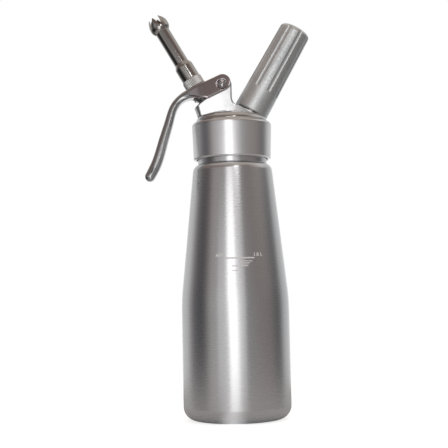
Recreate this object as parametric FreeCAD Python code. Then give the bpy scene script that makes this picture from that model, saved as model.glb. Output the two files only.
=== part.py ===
import FreeCAD, Part
import math
import os

# Whipped cream dispenser: a tapered pressure bottle, a screw-on head with a lever valve that leans
# one way and a gas charger that leans the other. Millimetres. The origin is the centre of the
# bottle's base, +Z is up, +X is the charger's side and -X the lever's side.

V = FreeCAD.Vector

# Bottle
body_radius = 44.5
base_corner = 11.0
base_dish = 2.0
base_ring = 3.0
bottle_wall = 1.8
waist_height = 98.4
waist_blend = 180.0
taper_top_radius = 33.2
taper_top_height = 204.9
shoulder_round = 7.0
neck_band_step = 0.8
neck_band_height = 4.4
neck_height = 26.8
neck_wall = 2.8
lip_chamfer = 0.7

# Screw between bottle and head
neck_root = 28.0
neck_pitch = 4.0
neck_turns = 3.0
neck_thread_depth = 1.5
neck_thread_base = 1.9
neck_thread_crest = 1.0
neck_thread_start = 9.4
thread_clearance = 0.3
thread_sink = 0.25

# Head skirt and dome; the fullness values say how far a rounding stands out of its chord
skirt_gap = 3.5
skirt_low_wall = 2.5
skirt_top_wall = 3.5
skirt_low_chamfer = 1.0
skirt_lead_in = 0.5
gasket_thickness = 3.0
gasket_width = 4.4
gasket_gap = 0.3
skirt_top_rise = 2.4
rim_inset = 2.7
rim_rise = 5.4
rim_fullness = 0.45
rim_step = 0.8
rim_step_height = 0.4
dome_shoulder_inset = 6.6
dome_shoulder_rise = 10.7
dome_shoulder_fullness = 1.5
dome_rise = 14.5

# The two leaning axes, which cross on the bottle's axis below the ceiling of the head
lean = 30.0
cross_depth = 14.0

# Valve side. The seat is measured along the valve's axis from the crossing point, and what
# stands above it from what it stands on.
seat_height = 21.0
relief_height = 4.5
guide_cone = 1.2
guide_length = 7.5
spring_room = 11.2
valve_boss_radius = 10.9
valve_boss_slope = 0.2
valve_boss_rim = 7.4
valve_boss_chamfer = 1.3
valve_pocket_radius = 8.5
relief_radius = 5.5
spring_bore_radius = 6.6
stem_radius = 4.0
stem_bore = 2.0
running_clearance = 0.05
stroke_room = 2.7
collar_radius = 7.8
collar_thickness = 2.1
collar_edge = 0.4
port_radius = 1.3
port_rise = 2.2
bore_floor_drop = 0.7
o_ring_rise = 4.9
o_ring_section = 0.5
o_ring_room = 0.1
spigot_radius = 2.5
valve_seal_radius = 7.0
valve_seal_thickness = 2.4
valve_washer_radius = 5.6
valve_washer_thickness = 0.8
valve_nut_radius = 4.4
valve_nut_height = 3.6
face_clearance = 0.02
spring_side_gap = 0.75
spring_wire = 1.0
spring_turns = 5.0

# Decorating tip and its grip collar, along the valve's axis
tip_gap = 1.1
tip_joint_length = 7.3
tip_pitch = 1.5
tip_root = 5.2
tip_thread_depth = 0.7
tip_thread_base = 0.75
tip_thread_crest = 0.35
tip_thread_clearance = 0.15
tip_thread_start = 0.7
tip_thread_end = 0.2
stem_end_chamfer = 0.4
stem_cone = 0.8
tip_seal_thickness = 1.2
tip_seal_hole = 3.0
tip_foot_gap = 0.2
grip_height = 7.7
grip_radius = 8.6
grip_wall = 1.6
grip_knurls = 40
grip_knurl_depth = 0.35
grip_chamfer = 0.6
sleeve_radius = 7.9
sleeve_length = 12.0
sleeve_edge = 0.4
sleeve_end_round = 1.1
sleeve_end_step = 0.9
sleeve_end_fullness = 0.15
tube_radius = 6.15
tube_cone_length = 4.0
tube_length = 31.3
tube_bore = 4.7
crown_radius = 8.4
crown_belly = 4.7
crown_length = 13.7
crown_mouth_radius = 5.4
crown_wall = 1.1
crown_tines = 6
crown_turn = 12.0
tine_gap_low = 2.4
tine_depth = 7.0
tine_point = 0.5

# Charger side, along the charger's axis; the seat is measured from the crossing point
boss_rise = 10.0
boss_radius = 15.0
boss_slope = 0.03
boss_chamfer = 0.6
charger_pitch = 2.0
charger_turns = 4.0
charger_root = 10.2
charger_thread_depth = 0.9
charger_thread_base = 1.1
charger_thread_crest = 0.5
charger_thread_clearance = 0.2
charger_thread_start = 2.5
nose_length = 16.0
nose_chamfer = 0.6
recess_radius = 5.1
recess_rise = 7.0
charger_radius = 9.3
charger_length = 65.5
charger_neck_radius = 4.4
charger_neck_length = 7.0
charger_shoulder = 6.0
charger_shoulder_fullness = 0.84
charger_neck_edge = 0.4
charger_neck_wall = 1.6
charger_plug = 1.2
charger_wall = 1.0
charger_hole = 1.5
holder_gap = 1.0
holder_end_gap = 0.3
holder_base_radius = 14.5
holder_tip_radius = 13.2
holder_end_round = 3.5
holder_end_wall = 4.2
holder_bore_gap = 0.4
holder_rim_chamfer = 0.6
holder_room_gap = 0.7
holder_mouth_room = 1.0
holder_mouth_cone = 2.0
flutes = 8
flute_radius = 3.2
flute_depth = 0.75
flute_start = 21.5
inlet_pocket_radius = 8.5
inlet_seat = 21.5
inlet_flange_radius = 6.5
inlet_flange_height = 2.4
inlet_washer_thickness = 0.8
inlet_radius = 3.6
inlet_stub_radius = 2.4
inlet_stub_length = 6.0
inlet_channel = 0.8
inlet_channel_floor = 1.5
inlet_port_radius = 0.56
inlet_port_height = 2.5
inlet_rubber_wall = 1.1
inlet_rubber_gap = 0.5
pin_body_radius = 2.4
pin_body_height = 2.2
pin_needle_radius = 1.1
pin_needle_height = 3.6
pin_point_height = 1.6
pin_channel_radius = 0.4
pin_channel_top = 1.0
charger_gasket_thickness = 1.8
charger_gasket_gap = 0.3

# Lever bracket and lever
lever_arm = 18.76
pivot_rise = 2.7
bracket_half = 8.5
bracket_eye = 8.0
bracket_edge_round = 1.2
eye_crown_angle = 100.0
bracket_fillet = 5.0
bracket_fillet_depth = 0.6
bracket_overlap = 0.6
bracket_notch = 2.3
pin_radius = 2.0
pin_proud = 0.2
pin_dome = 0.7
cheek_gap = 0.3
cheek_thickness = 3.2
cheek_end_radius = 6.7
cheek_end_rise = 2.1
cheek_edge_round = 0.9
cheek_recess_radius = 4.15
cheek_recess_depth = 1.6
clip_thickness = 0.8
clip_radius = 3.4
clip_groove_depth = 0.4
clip_mouth = 2.2
slot_half = 4.6
slot_end = 5.2
web_gap = 2.0
web_thickness = 6.2
web_reach = 5.3
press_pad_radius = 3.0
press_gap = 0.1
press_pad_sink = 0.5
fork_room = 0.6

# Lever's middle line from the fork to the tip of the handle, from the pivot, as (x, z)
lever_line = ((-12.8, -4.1), (-38.2, -7.0), (-56.4, -64.5), (-64.0, -78.4))
lever_bends = (22.0, 40.0)
# Along that line: share of its length, depth, width and corner radius
lever_sections = (
    (0.00, 14.4, 24.0, 0.9),
    (0.03, 13.4, 23.9, 1.1),
    (0.08, 11.0, 21.8, 1.8),
    (0.15, 8.0, 16.5, 2.8),
    (0.22, 6.6, 13.4, 3.0),
    (0.32, 6.3, 12.2, 2.9),
    (0.45, 7.0, 12.0, 3.2),
    (0.64, 7.9, 12.0, 3.6),
    (0.84, 8.5, 11.8, 3.9),
    (0.955, 8.2, 11.4, 3.8),
)
handle_cap_steps = 4
handle_cap_edge = 0.35
handle_cap_corner = 0.4

# How far a cutting tool runs past what it cuts, and how deep a fused piece starts inside its carrier
overcut = 1.0
buried = 2.5

# ------------------------------------------------------------------ derived places
taper = math.atan2(body_radius - taper_top_radius, taper_top_height - waist_height)
shoulder_centre = (
    taper_top_radius - shoulder_round * math.cos(taper),
    taper_top_height - shoulder_round * math.sin(taper),
)
shoulder_top = shoulder_centre[1] + shoulder_round
lip_top = shoulder_top + neck_height
ceiling = lip_top + gasket_thickness + face_clearance
skirt_bottom = shoulder_top + skirt_gap
cross_point = V(0, 0, ceiling - cross_depth)
neck_band_radius = neck_root + neck_band_step
skirt_bore = neck_root + neck_thread_depth + thread_clearance
skirt_low_radius = skirt_bore + skirt_low_wall
skirt_top_radius = skirt_bore + skirt_top_wall
rim_radius = skirt_top_radius - rim_inset
dome_shoulder_radius = rim_radius - dome_shoulder_inset
guide_start = seat_height + relief_height
spring_floor = guide_start + guide_length
valve_boss_top = spring_floor + spring_room
pivot_height = valve_boss_top + pivot_rise
port_height = seat_height + port_rise
o_ring_height = guide_start + o_ring_rise
spring_mean_radius = spring_bore_radius - spring_side_gap - spring_wire / 2
collar_low = valve_boss_top + stroke_room
collar_high = collar_low + collar_thickness
web_low = collar_high + web_gap
web_high = web_low + web_thickness
tip_start = web_high + tip_gap
stem_end_height = tip_start + tip_joint_length
tip_thread_room = tip_joint_length - tip_thread_start - tip_thread_end - stem_end_chamfer
tip_turns = (tip_thread_room - tip_thread_base) / tip_pitch
stem_low = seat_height - face_clearance
seal_low = stem_low - valve_seal_thickness
washer_low = seal_low - valve_washer_thickness
spigot_low = washer_low - valve_nut_height
tip_seal_low = stem_end_height + face_clearance
tip_seal_high = tip_seal_low + tip_seal_thickness
tip_bore = tip_root + tip_thread_depth + tip_thread_clearance
spigot_outer = grip_radius - grip_wall
boss_shoulder = inlet_seat + boss_rise
recess_floor = boss_shoulder + recess_rise
nose_top = boss_shoulder + nose_length
holder_mouth_bore = charger_root + charger_thread_depth + charger_thread_clearance
holder_bore = charger_radius + holder_bore_gap
charger_low = recess_floor + pin_body_height + charger_gasket_thickness
holder_start = boss_shoulder + holder_gap
holder_end = charger_low + charger_length + holder_end_gap + holder_end_wall
holder_length = holder_end - holder_start
cheek_inner = bracket_half + cheek_gap
cheek_outer = cheek_inner + cheek_thickness


# ------------------------------------------------------------------ general helpers
def lean_axis(shape, side):
    """Moves a shape built about Z from the origin onto the valve (-1) or charger (+1) axis."""
    moved = shape.copy()
    moved.rotate(V(0, 0, 0), V(0, 1, 0), side * lean)
    moved.translate(cross_point)
    return moved


def on_valve(shape):
    return lean_axis(shape, -1)


def on_charger(shape):
    return lean_axis(shape, 1)


def valve_point(across, along):
    """World point in the lever's plane, from the valve axis towards the pivot, and along it."""
    turn = math.radians(lean)
    x = -along * math.sin(turn) + across * math.cos(turn)
    z = along * math.cos(turn) + across * math.sin(turn)
    return cross_point + V(x, 0, z)


def charger_point(across, along):
    """World point in the lever's plane, from the charger axis away from the pivot, and along it."""
    turn = math.radians(lean)
    x = along * math.sin(turn) + across * math.cos(turn)
    z = along * math.cos(turn) - across * math.sin(turn)
    return cross_point + V(x, 0, z)


pivot = valve_point(lever_arm, pivot_height)


def outline(points):
    """Closed outline in the XZ plane. A point is (x, z), or ((x, z), (x, z)) for an arc through the
    first to the second."""
    edges = []
    here = V(points[0][0], 0, points[0][1])
    first = here
    for point in list(points[1:]) + [points[0]]:
        if isinstance(point[0], tuple):
            middle = V(point[0][0], 0, point[0][1])
            there = V(point[1][0], 0, point[1][1])
            edges.append(Part.Arc(here, middle, there).toShape())
        else:
            there = V(point[0], 0, point[1])
            if there.distanceToPoint(here) > 1e-7:
                edges.append(Part.LineSegment(here, there).toShape())
        here = there
    assert here.distanceToPoint(first) < 1e-6
    return Part.Face(Part.Wire(edges))


def lathe(points):
    return outline(points).revolve(V(0, 0, 0), V(0, 0, 1), 360)


def disc(radius, low, high):
    return Part.makeCylinder(radius, high - low, V(0, 0, low))


def ring(inner, outer, low, high):
    return disc(outer, low, high).cut(disc(inner, low - overcut, high + overcut))


def slab(face, half):
    """A face in the XZ plane made into a plate from -half to +half in Y."""
    moved = face.copy()
    moved.translate(V(0, -half, 0))
    return moved.extrude(V(0, 2 * half, 0))


def arc_about(centre, radius, start, end):
    """Arc item for outline(): from angle start to angle end about a centre, in degrees from +X."""
    middle = 0.5 * (start + end)
    points = []
    for angle in (middle, end):
        turn = math.radians(angle)
        points.append((centre[0] + radius * math.cos(turn), centre[1] + radius * math.sin(turn)))
    return tuple(points)


def bulge_arc(start, end, fullness):
    """Arc item for outline(): from start to end, standing out of their chord to its right."""
    run = (end[0] - start[0], end[1] - start[1])
    length = math.hypot(run[0], run[1])
    middle = (
        0.5 * (start[0] + end[0]) + fullness * run[1] / length,
        0.5 * (start[1] + end[1]) - fullness * run[0] / length,
    )
    return (middle, end)


def cap_arc(radius, edge, apex, to_apex=True):
    """Arc item for outline(): part of a ball about the axis, between (radius, edge) and (0, apex)."""
    height = apex - edge
    ball = (radius ** 2 + height ** 2) / (2 * abs(height))
    side = 1 if height > 0 else -1
    half = math.asin(min(1.0, radius / ball)) / 2
    middle = (ball * math.sin(half), apex - side * ball * (1 - math.cos(half)))
    return (middle, (0, apex)) if to_apex else (middle, (radius, edge))


def belly_arc(wide, end, to_end=True):
    """Arc item for outline(): between a belly's widest point, where it runs upright, and its end."""
    inset = wide[0] - end[0]
    rise = end[1] - wide[1]
    radius = (inset ** 2 + rise ** 2) / (2 * inset)
    half = math.atan2(inset, abs(rise))
    side = 1 if rise > 0 else -1
    middle = (wide[0] - radius * (1 - math.cos(half)), wide[1] + side * radius * math.sin(half))
    return (middle, end) if to_end else (middle, wide)


def thread(root, depth, base, crest, pitch, low, turns, inward=False):
    """Helical ridge on a wall of radius root, from low upwards; inward for a nut's thread."""
    side = -1 if inward else 1
    sunk = root - side * thread_sink
    tip = root + side * depth
    path = Part.Wire(Part.makeLongHelix(pitch, pitch * turns, root))
    profile = Part.makePolygon([
        V(sunk, 0, -base / 2),
        V(tip, 0, -crest / 2),
        V(tip, 0, crest / 2),
        V(sunk, 0, base / 2),
        V(sunk, 0, -base / 2),
    ])
    ridge = path.makePipeShell([profile], True, True)
    ridge.translate(V(0, 0, low))
    return ridge


def one_solid(shape):
    solids = shape.Solids
    assert len(solids) == 1, "expected one solid, got %d" % len(solids)
    return solids[0]


def save(name, shape):
    solids = shape.Solids
    made = Part.makeCompound(solids) if len(solids) > 1 else solids[0]
    assert made.isValid(), name
    made.exportStep("parts/%s.step" % name)
    print("%-20s solids %d  volume %10.1f" % (name, len(solids), made.Volume))


# ------------------------------------------------------------------ bottle
def bottle_outline(inset):
    """Half section of the bottle from the axis to the shoulder, moved inwards by inset."""
    foot = body_radius - base_corner
    corner = base_corner - inset
    blend_centre = waist_height - waist_blend * math.tan(taper / 2)
    blend = waist_blend + inset
    blend_start = (body_radius - inset, blend_centre)
    blend_middle = (
        body_radius - inset - blend * (1 - math.cos(taper / 2)),
        blend_centre + blend * math.sin(taper / 2),
    )
    blend_end = (
        body_radius - inset - blend * (1 - math.cos(taper)),
        blend_centre + blend * math.sin(taper),
    )
    turned = math.degrees(taper)
    rounding = shoulder_round - inset
    taper_end = (
        shoulder_centre[0] + rounding * math.cos(taper),
        shoulder_centre[1] + rounding * math.sin(taper),
    )
    return [
        cap_arc(foot - base_ring, inset, base_dish + inset, to_apex=False),
        (foot, inset),
        arc_about((foot, base_corner), corner, -90, 0),
        blend_start,
        (blend_middle, blend_end),
        taper_end,
    ], turned


def make_bottle():
    outer, turned = bottle_outline(0)
    neck_edge = math.degrees(math.acos((neck_band_radius - shoulder_centre[0]) / shoulder_round))
    outer = [(0, base_dish)] + outer
    outer.append(arc_about(shoulder_centre, shoulder_round, turned, neck_edge))
    band_top = shoulder_top + neck_band_height
    outer += [
        (neck_band_radius, band_top),
        (neck_root, band_top + neck_band_radius - neck_root),
        (neck_root, lip_top - lip_chamfer),
        (neck_root - lip_chamfer, lip_top),
        (0, lip_top),
    ]
    inner, turned = bottle_outline(bottle_wall)
    inner_round = shoulder_round - bottle_wall
    mouth = neck_root - neck_wall
    inner = [(0, base_dish + bottle_wall)] + inner
    inner.append(arc_about(shoulder_centre, inner_round, turned, 90))
    inner += [
        (mouth, shoulder_centre[1] + inner_round),
        (mouth, lip_top - lip_chamfer),
        (mouth + lip_chamfer, lip_top),
        (mouth + lip_chamfer, lip_top + overcut),
        (0, lip_top + overcut),
    ]
    body = lathe(outer).cut(lathe(inner))
    ridge = thread(neck_root, neck_thread_depth, neck_thread_base, neck_thread_crest, neck_pitch,
                   shoulder_top + neck_thread_start, neck_turns)
    return one_solid(body.fuse(ridge))


# ------------------------------------------------------------------ head
def skirt_and_dome():
    low = skirt_bottom
    skirt_top = (skirt_top_radius, ceiling + skirt_top_rise)
    rim = (rim_radius, ceiling + rim_rise)
    step = (rim_radius - rim_step, rim[1] + rim_step_height)
    shoulder = (dome_shoulder_radius, ceiling + dome_shoulder_rise)
    return lathe([
        (0, low),
        (skirt_low_radius - skirt_low_chamfer, low),
        (skirt_low_radius, low + skirt_low_chamfer),
        skirt_top,
        bulge_arc(skirt_top, rim, rim_fullness),
        (step[0], rim[1]),
        step,
        bulge_arc(step, shoulder, dome_shoulder_fullness),
        cap_arc(shoulder[0], shoulder[1], ceiling + dome_rise),
    ])


def bracket():
    """Flat bracket between the two bosses, rounded about the pivot pin and along its free edges."""
    notch = valve_point(valve_boss_radius - bracket_notch, valve_boss_top)
    eye_left = valve_point(lever_arm - bracket_eye, pivot_height)
    right = (pivot.x + bracket_eye, pivot.z)
    rim = charger_point(-boss_radius, boss_shoulder)
    inside = charger_point(0, boss_shoulder - buried)
    axis_top = valve_point(0, valve_boss_top)
    axis_low = valve_point(0, seat_height + buried)
    fillet_start = (right[0], rim.z + bracket_fillet)
    fillet_end = (rim.x + bracket_overlap, rim.z - bracket_overlap)
    foot = ceiling + buried
    face = outline([
        (axis_top.x, axis_top.z),
        (notch.x, notch.z),
        (eye_left.x, eye_left.z),
        (eye_crown(), right),
        fillet_start,
        bulge_arc(fillet_start, fillet_end, bracket_fillet_depth),
        (inside.x, inside.z),
        (inside.x, foot),
        (axis_low.x, foot),
    ])
    plate = slab(face, bracket_half)
    rims = []
    for edge in plate.Edges:
        middle = edge.valueAt(0.5 * (edge.FirstParameter + edge.LastParameter))
        free = middle.z > fillet_end[1] and middle.x > notch.x
        if edge.BoundBox.YLength < 1e-6 and free:
            rims.append(edge)
    return plate.makeFillet(bracket_edge_round, rims)


def eye_crown():
    """Point of the bracket's eye straight above the pivot, a little towards the lever's side."""
    turn = math.radians(eye_crown_angle)
    return (pivot.x + bracket_eye * math.cos(turn), pivot.z + bracket_eye * math.sin(turn))


def valve_boss():
    low = seat_height
    low_radius = valve_boss_radius + valve_boss_slope * (valve_boss_top - low)
    chamfer_low = valve_boss_top - valve_boss_chamfer
    boss = lathe([
        (0, low),
        (low_radius, low),
        (valve_boss_radius, chamfer_low),
        (valve_boss_rim, valve_boss_top),
        (0, valve_boss_top),
    ])
    return on_valve(boss).common(casting_width())


def casting_width():
    """All that lies between the flat sides of the bosses and the bracket."""
    reach = 2 * nose_top
    return Part.makeBox(2 * reach, 2 * bracket_half, 2 * reach, V(-reach, -bracket_half, cross_point.z))


def charger_boss():
    """Flat-sided boss on the dome, with the round nose that the charger holder screws on to."""
    low = inlet_seat
    low_radius = boss_radius + boss_slope * (boss_shoulder - low)
    boss = on_charger(lathe([
        (0, low),
        (low_radius, low),
        (boss_radius, boss_shoulder - boss_chamfer),
        (boss_radius - boss_chamfer, boss_shoulder),
        (0, boss_shoulder),
    ]))
    nose = on_charger(lathe([
        (0, boss_shoulder),
        (charger_root, boss_shoulder),
        (charger_root, nose_top - nose_chamfer),
        (charger_root - nose_chamfer, nose_top),
        (0, nose_top),
    ]))
    return boss.common(casting_width()).fuse(nose)


def skirt_hollow():
    skirt = disc(skirt_bore, skirt_bottom - overcut, ceiling)
    lead_in = lathe([
        (0, skirt_bottom - overcut),
        (skirt_bore + skirt_lead_in, skirt_bottom - overcut),
        (skirt_bore + skirt_lead_in, skirt_bottom),
        (skirt_bore, skirt_bottom + skirt_lead_in),
        (0, skirt_bottom + skirt_lead_in),
    ])
    return skirt.fuse(lead_in)


def valve_hollow():
    """Pocket for the valve seal, relief, guide bore and spring bore."""
    return on_valve(lathe([
        (0, 0),
        (valve_pocket_radius, 0),
        (valve_pocket_radius, seat_height),
        (relief_radius, seat_height),
        (relief_radius, guide_start - guide_cone),
        (stem_radius + running_clearance, guide_start),
        (stem_radius + running_clearance, spring_floor),
        (spring_bore_radius, spring_floor),
        (spring_bore_radius, valve_boss_top + overcut),
        (0, valve_boss_top + overcut),
    ]))


def inlet_hollow():
    """Pocket for the gas inlet's flange, its bore and the recess for the charger's neck."""
    return on_charger(lathe([
        (0, 0),
        (inlet_pocket_radius, 0),
        (inlet_pocket_radius, inlet_seat),
        (inlet_radius, inlet_seat),
        (inlet_radius, recess_floor),
        (recess_radius, recess_floor),
        (recess_radius, nose_top + overcut),
        (0, nose_top + overcut),
    ]))


def pivot_hole(radius):
    reach = cheek_outer + overcut
    return Part.makeCylinder(radius, 2 * reach, pivot - V(0, reach, 0), V(0, 1, 0))


def holder_room():
    """Round step cut in the dome where the charger holder comes down."""
    room = holder_base_radius + holder_room_gap
    high = nose_top + holder_length
    return on_charger(ring(charger_root + charger_thread_depth, room, boss_shoulder, high).fuse(
        ring(charger_root, room, boss_shoulder, nose_top)))


def make_head():
    """Cap with skirt, dome and the threaded boss for the charger holder."""
    body = skirt_and_dome().fuse(charger_boss()).removeSplitter()
    for hollow in (holder_room(), skirt_hollow(), valve_hollow(), inlet_hollow()):
        body = body.cut(hollow)
    nut_thread = thread(skirt_bore, neck_thread_depth, neck_thread_base, neck_thread_crest,
                        neck_pitch, shoulder_top + neck_thread_start + neck_pitch / 2, neck_turns,
                        inward=True)
    body = body.fuse(nut_thread)
    nose_thread = thread(charger_root, charger_thread_depth, charger_thread_base,
                         charger_thread_crest, charger_pitch, boss_shoulder + charger_thread_start,
                         charger_turns)
    body = body.fuse(on_charger(nose_thread))
    return one_solid(body)


def make_lever_bracket():
    """Valve boss and lever bracket, which stand on the dome and against the charger's boss."""
    body = bracket().fuse(valve_boss()).removeSplitter()
    for taken in (skirt_and_dome(), charger_boss(), holder_room(), valve_hollow(),
                  pivot_hole(pin_radius)):
        body = body.cut(taken)
    return one_solid(body)


def make_head_gasket():
    outer = skirt_bore - gasket_gap
    return ring(outer - gasket_width, outer, lip_top + face_clearance / 2,
                ceiling - face_clearance / 2)


# ------------------------------------------------------------------ valve
def make_stem():
    """Hollow valve stem with its press collar and the screw for the decorating tip."""
    o_ring_floor = stem_radius - 2 * o_ring_section
    groove = o_ring_section + o_ring_room
    body = lathe([
        (0, spigot_low),
        (spigot_radius, spigot_low),
        (spigot_radius, stem_low),
        (stem_radius, stem_low),
        (stem_radius, o_ring_height - groove),
        (o_ring_floor, o_ring_height - groove),
        (o_ring_floor, o_ring_height + groove),
        (stem_radius, o_ring_height + groove),
        (stem_radius, collar_low),
        (collar_radius - collar_edge, collar_low),
        (collar_radius, collar_low + collar_edge),
        (collar_radius, collar_high - collar_edge),
        (collar_radius - collar_edge, collar_high),
        (stem_radius, collar_high),
        (stem_radius, tip_start - stem_cone),
        (tip_root, tip_start),
        (tip_root, stem_end_height - stem_end_chamfer),
        (tip_root - stem_end_chamfer, stem_end_height),
        (0, stem_end_height),
    ])
    bore_floor = port_height - port_radius - bore_floor_drop
    bore = disc(stem_bore, bore_floor, stem_end_height + overcut)
    port = Part.makeCylinder(port_radius, 4 * stem_radius, V(-2 * stem_radius, 0, port_height),
                             V(1, 0, 0))
    cross_port = port.copy()
    cross_port.rotate(V(0, 0, port_height), V(0, 0, 1), 90)
    body = body.cut(bore).cut(port).cut(cross_port)
    ridge = thread(tip_root, tip_thread_depth, tip_thread_base, tip_thread_crest, tip_pitch,
                   tip_start + tip_thread_start, tip_turns)
    return on_valve(one_solid(body.fuse(ridge)))


def make_stem_o_ring():
    middle = stem_radius - o_ring_section
    return on_valve(Part.makeTorus(middle, o_ring_section, V(0, 0, o_ring_height)))


def make_valve_seal():
    return on_valve(ring(spigot_radius, valve_seal_radius, seal_low, stem_low))


def make_valve_washer():
    return on_valve(ring(spigot_radius, valve_washer_radius, washer_low, seal_low))


def make_valve_nut():
    corners = []
    for step in range(7):
        turn = math.radians(60 * step)
        corners.append(V(valve_nut_radius * math.cos(turn), valve_nut_radius * math.sin(turn),
                         spigot_low))
    prism = Part.Face(Part.makePolygon(corners)).extrude(V(0, 0, valve_nut_height))
    return on_valve(prism.cut(disc(spigot_radius, spigot_low - overcut, washer_low + overcut)))


def make_valve_spring():
    low = spring_floor + spring_wire / 2 + face_clearance
    high = collar_low - spring_wire / 2 - face_clearance
    pitch = (high - low) / spring_turns
    path = Part.Wire(Part.makeLongHelix(pitch, high - low, spring_mean_radius))
    section = Part.Wire(Part.makeCircle(spring_wire / 2, V(spring_mean_radius, 0, 0), V(0, 1, 0)))
    coil = path.makePipeShell([section], True, True)
    coil.translate(V(0, 0, low))
    return on_valve(coil)


# ------------------------------------------------------------------ decorating tip
def make_tip():
    """Tulip tip: threaded sleeve, long tube and a flared crown of pointed tines."""
    sleeve_low = tip_start + grip_height
    cone_low = sleeve_low + sleeve_length
    tube_low = cone_low + tube_cone_length
    crown_low = tube_low + tube_length
    crown_top = crown_low + crown_length
    round_start = (sleeve_radius, cone_low)
    round_end = (sleeve_radius - sleeve_end_step, cone_low + 2 * sleeve_end_round)
    belly = (crown_radius, crown_low + crown_belly)
    belly_inside = (crown_radius - crown_wall, belly[1])
    shape = lathe([
        (0, tip_start + tip_foot_gap),
        (spigot_outer, tip_start + tip_foot_gap),
        (spigot_outer, sleeve_low),
        (sleeve_radius - sleeve_edge, sleeve_low),
        (sleeve_radius, sleeve_low + sleeve_edge),
        round_start,
        bulge_arc(round_start, round_end, sleeve_end_fullness),
        (tube_radius, tube_low),
        (tube_radius, crown_low),
        belly_arc(belly, (tube_radius, crown_low), to_end=False),
        belly_arc(belly, (crown_mouth_radius, crown_top)),
        (0, crown_top),
    ])
    seal_room = tip_seal_high + face_clearance
    bore = lathe([
        (0, tip_start - overcut),
        (tip_bore, tip_start - overcut),
        (tip_bore, seal_room),
        (tube_bore, seal_room),
        (tube_bore, crown_low),
        belly_arc(belly_inside, (tube_bore, crown_low), to_end=False),
        belly_arc(belly_inside, (crown_mouth_radius - crown_wall, crown_top)),
        (crown_mouth_radius - crown_wall, crown_top + overcut),
        (0, crown_top + overcut),
    ])
    shape = shape.cut(bore)
    for index in range(crown_tines):
        shape = shape.cut(tine_notch(index, crown_top))
    ridge = thread(tip_bore, tip_thread_depth, tip_thread_base, tip_thread_crest, tip_pitch,
                   tip_start + tip_thread_start + tip_pitch / 2, tip_turns, inward=True)
    return on_valve(one_solid(shape.fuse(ridge)))


def tine_notch(index, crown_top):
    """Rounded V between two tines, open at the mouth, on one side of the crown."""
    top_half = math.pi * crown_mouth_radius / crown_tines - tine_point / 2
    bottom = crown_top - tine_depth
    low_half = tine_gap_low / 2
    high = crown_top + overcut
    face = Part.Face(Part.Wire([
        Part.LineSegment(V(0, low_half, bottom), V(0, top_half, crown_top)).toShape(),
        Part.LineSegment(V(0, top_half, crown_top), V(0, top_half, high)).toShape(),
        Part.LineSegment(V(0, top_half, high), V(0, -top_half, high)).toShape(),
        Part.LineSegment(V(0, -top_half, high), V(0, -top_half, crown_top)).toShape(),
        Part.LineSegment(V(0, -top_half, crown_top), V(0, -low_half, bottom)).toShape(),
        Part.Arc(V(0, -low_half, bottom), V(0, 0, bottom - low_half),
                 V(0, low_half, bottom)).toShape(),
    ]))
    notch = face.extrude(V(2 * crown_radius, 0, 0))
    notch.rotate(V(0, 0, 0), V(0, 0, 1), crown_turn + 360.0 * (index + 0.5) / crown_tines)
    return notch


def make_grip_collar():
    """Knurled collar pressed on the foot of the tip."""
    high = tip_start + grip_height
    rim = []
    steps = 2 * grip_knurls
    for step in range(steps + 1):
        turn = 2 * math.pi * (step % steps) / steps
        radius = grip_radius - (step % 2) * grip_knurl_depth
        rim.append(V(radius * math.cos(turn), radius * math.sin(turn), tip_start))
    band = Part.Face(Part.makePolygon(rim)).extrude(V(0, 0, grip_height))
    chamfered = lathe([
        (0, tip_start),
        (grip_radius - grip_chamfer, tip_start),
        (grip_radius, tip_start + grip_chamfer),
        (grip_radius, high - grip_chamfer),
        (grip_radius - grip_chamfer, high),
        (0, high),
    ])
    band = band.common(chamfered)
    return on_valve(band.cut(disc(spigot_outer, tip_start - overcut, high + overcut)))


def make_tip_seal():
    return on_valve(ring(tip_seal_hole, tip_root, tip_seal_low, tip_seal_high))


# ------------------------------------------------------------------ charger side
def make_charger():
    """Gas cartridge, hollow, with its neck already pierced and facing the head."""
    low = charger_low
    neck_high = low + charger_neck_length
    body_low = neck_high + charger_shoulder
    high = low + charger_length
    neck_top = (charger_neck_radius, neck_high)
    shoulder = (charger_radius, body_low)
    outer = lathe([
        (0, low),
        (charger_neck_radius - charger_neck_edge, low),
        (charger_neck_radius, low + charger_neck_edge),
        neck_top,
        bulge_arc(neck_top, shoulder, charger_shoulder_fullness),
        (charger_radius, high - charger_radius),
        cap_arc(charger_radius, high - charger_radius, high),
    ])
    wall = charger_wall
    inner_neck = (charger_neck_radius - charger_neck_wall, neck_high)
    inner_shoulder = (charger_radius - wall, body_low + wall)
    inner = lathe([
        (0, low - overcut),
        (charger_hole, low - overcut),
        (charger_hole, low + charger_plug),
        (inner_neck[0], low + charger_plug),
        inner_neck,
        bulge_arc(inner_neck, inner_shoulder, charger_shoulder_fullness),
        (charger_radius - wall, high - charger_radius),
        cap_arc(charger_radius - wall, high - charger_radius, high - wall),
    ])
    return on_charger(outer.cut(inner))


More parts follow.
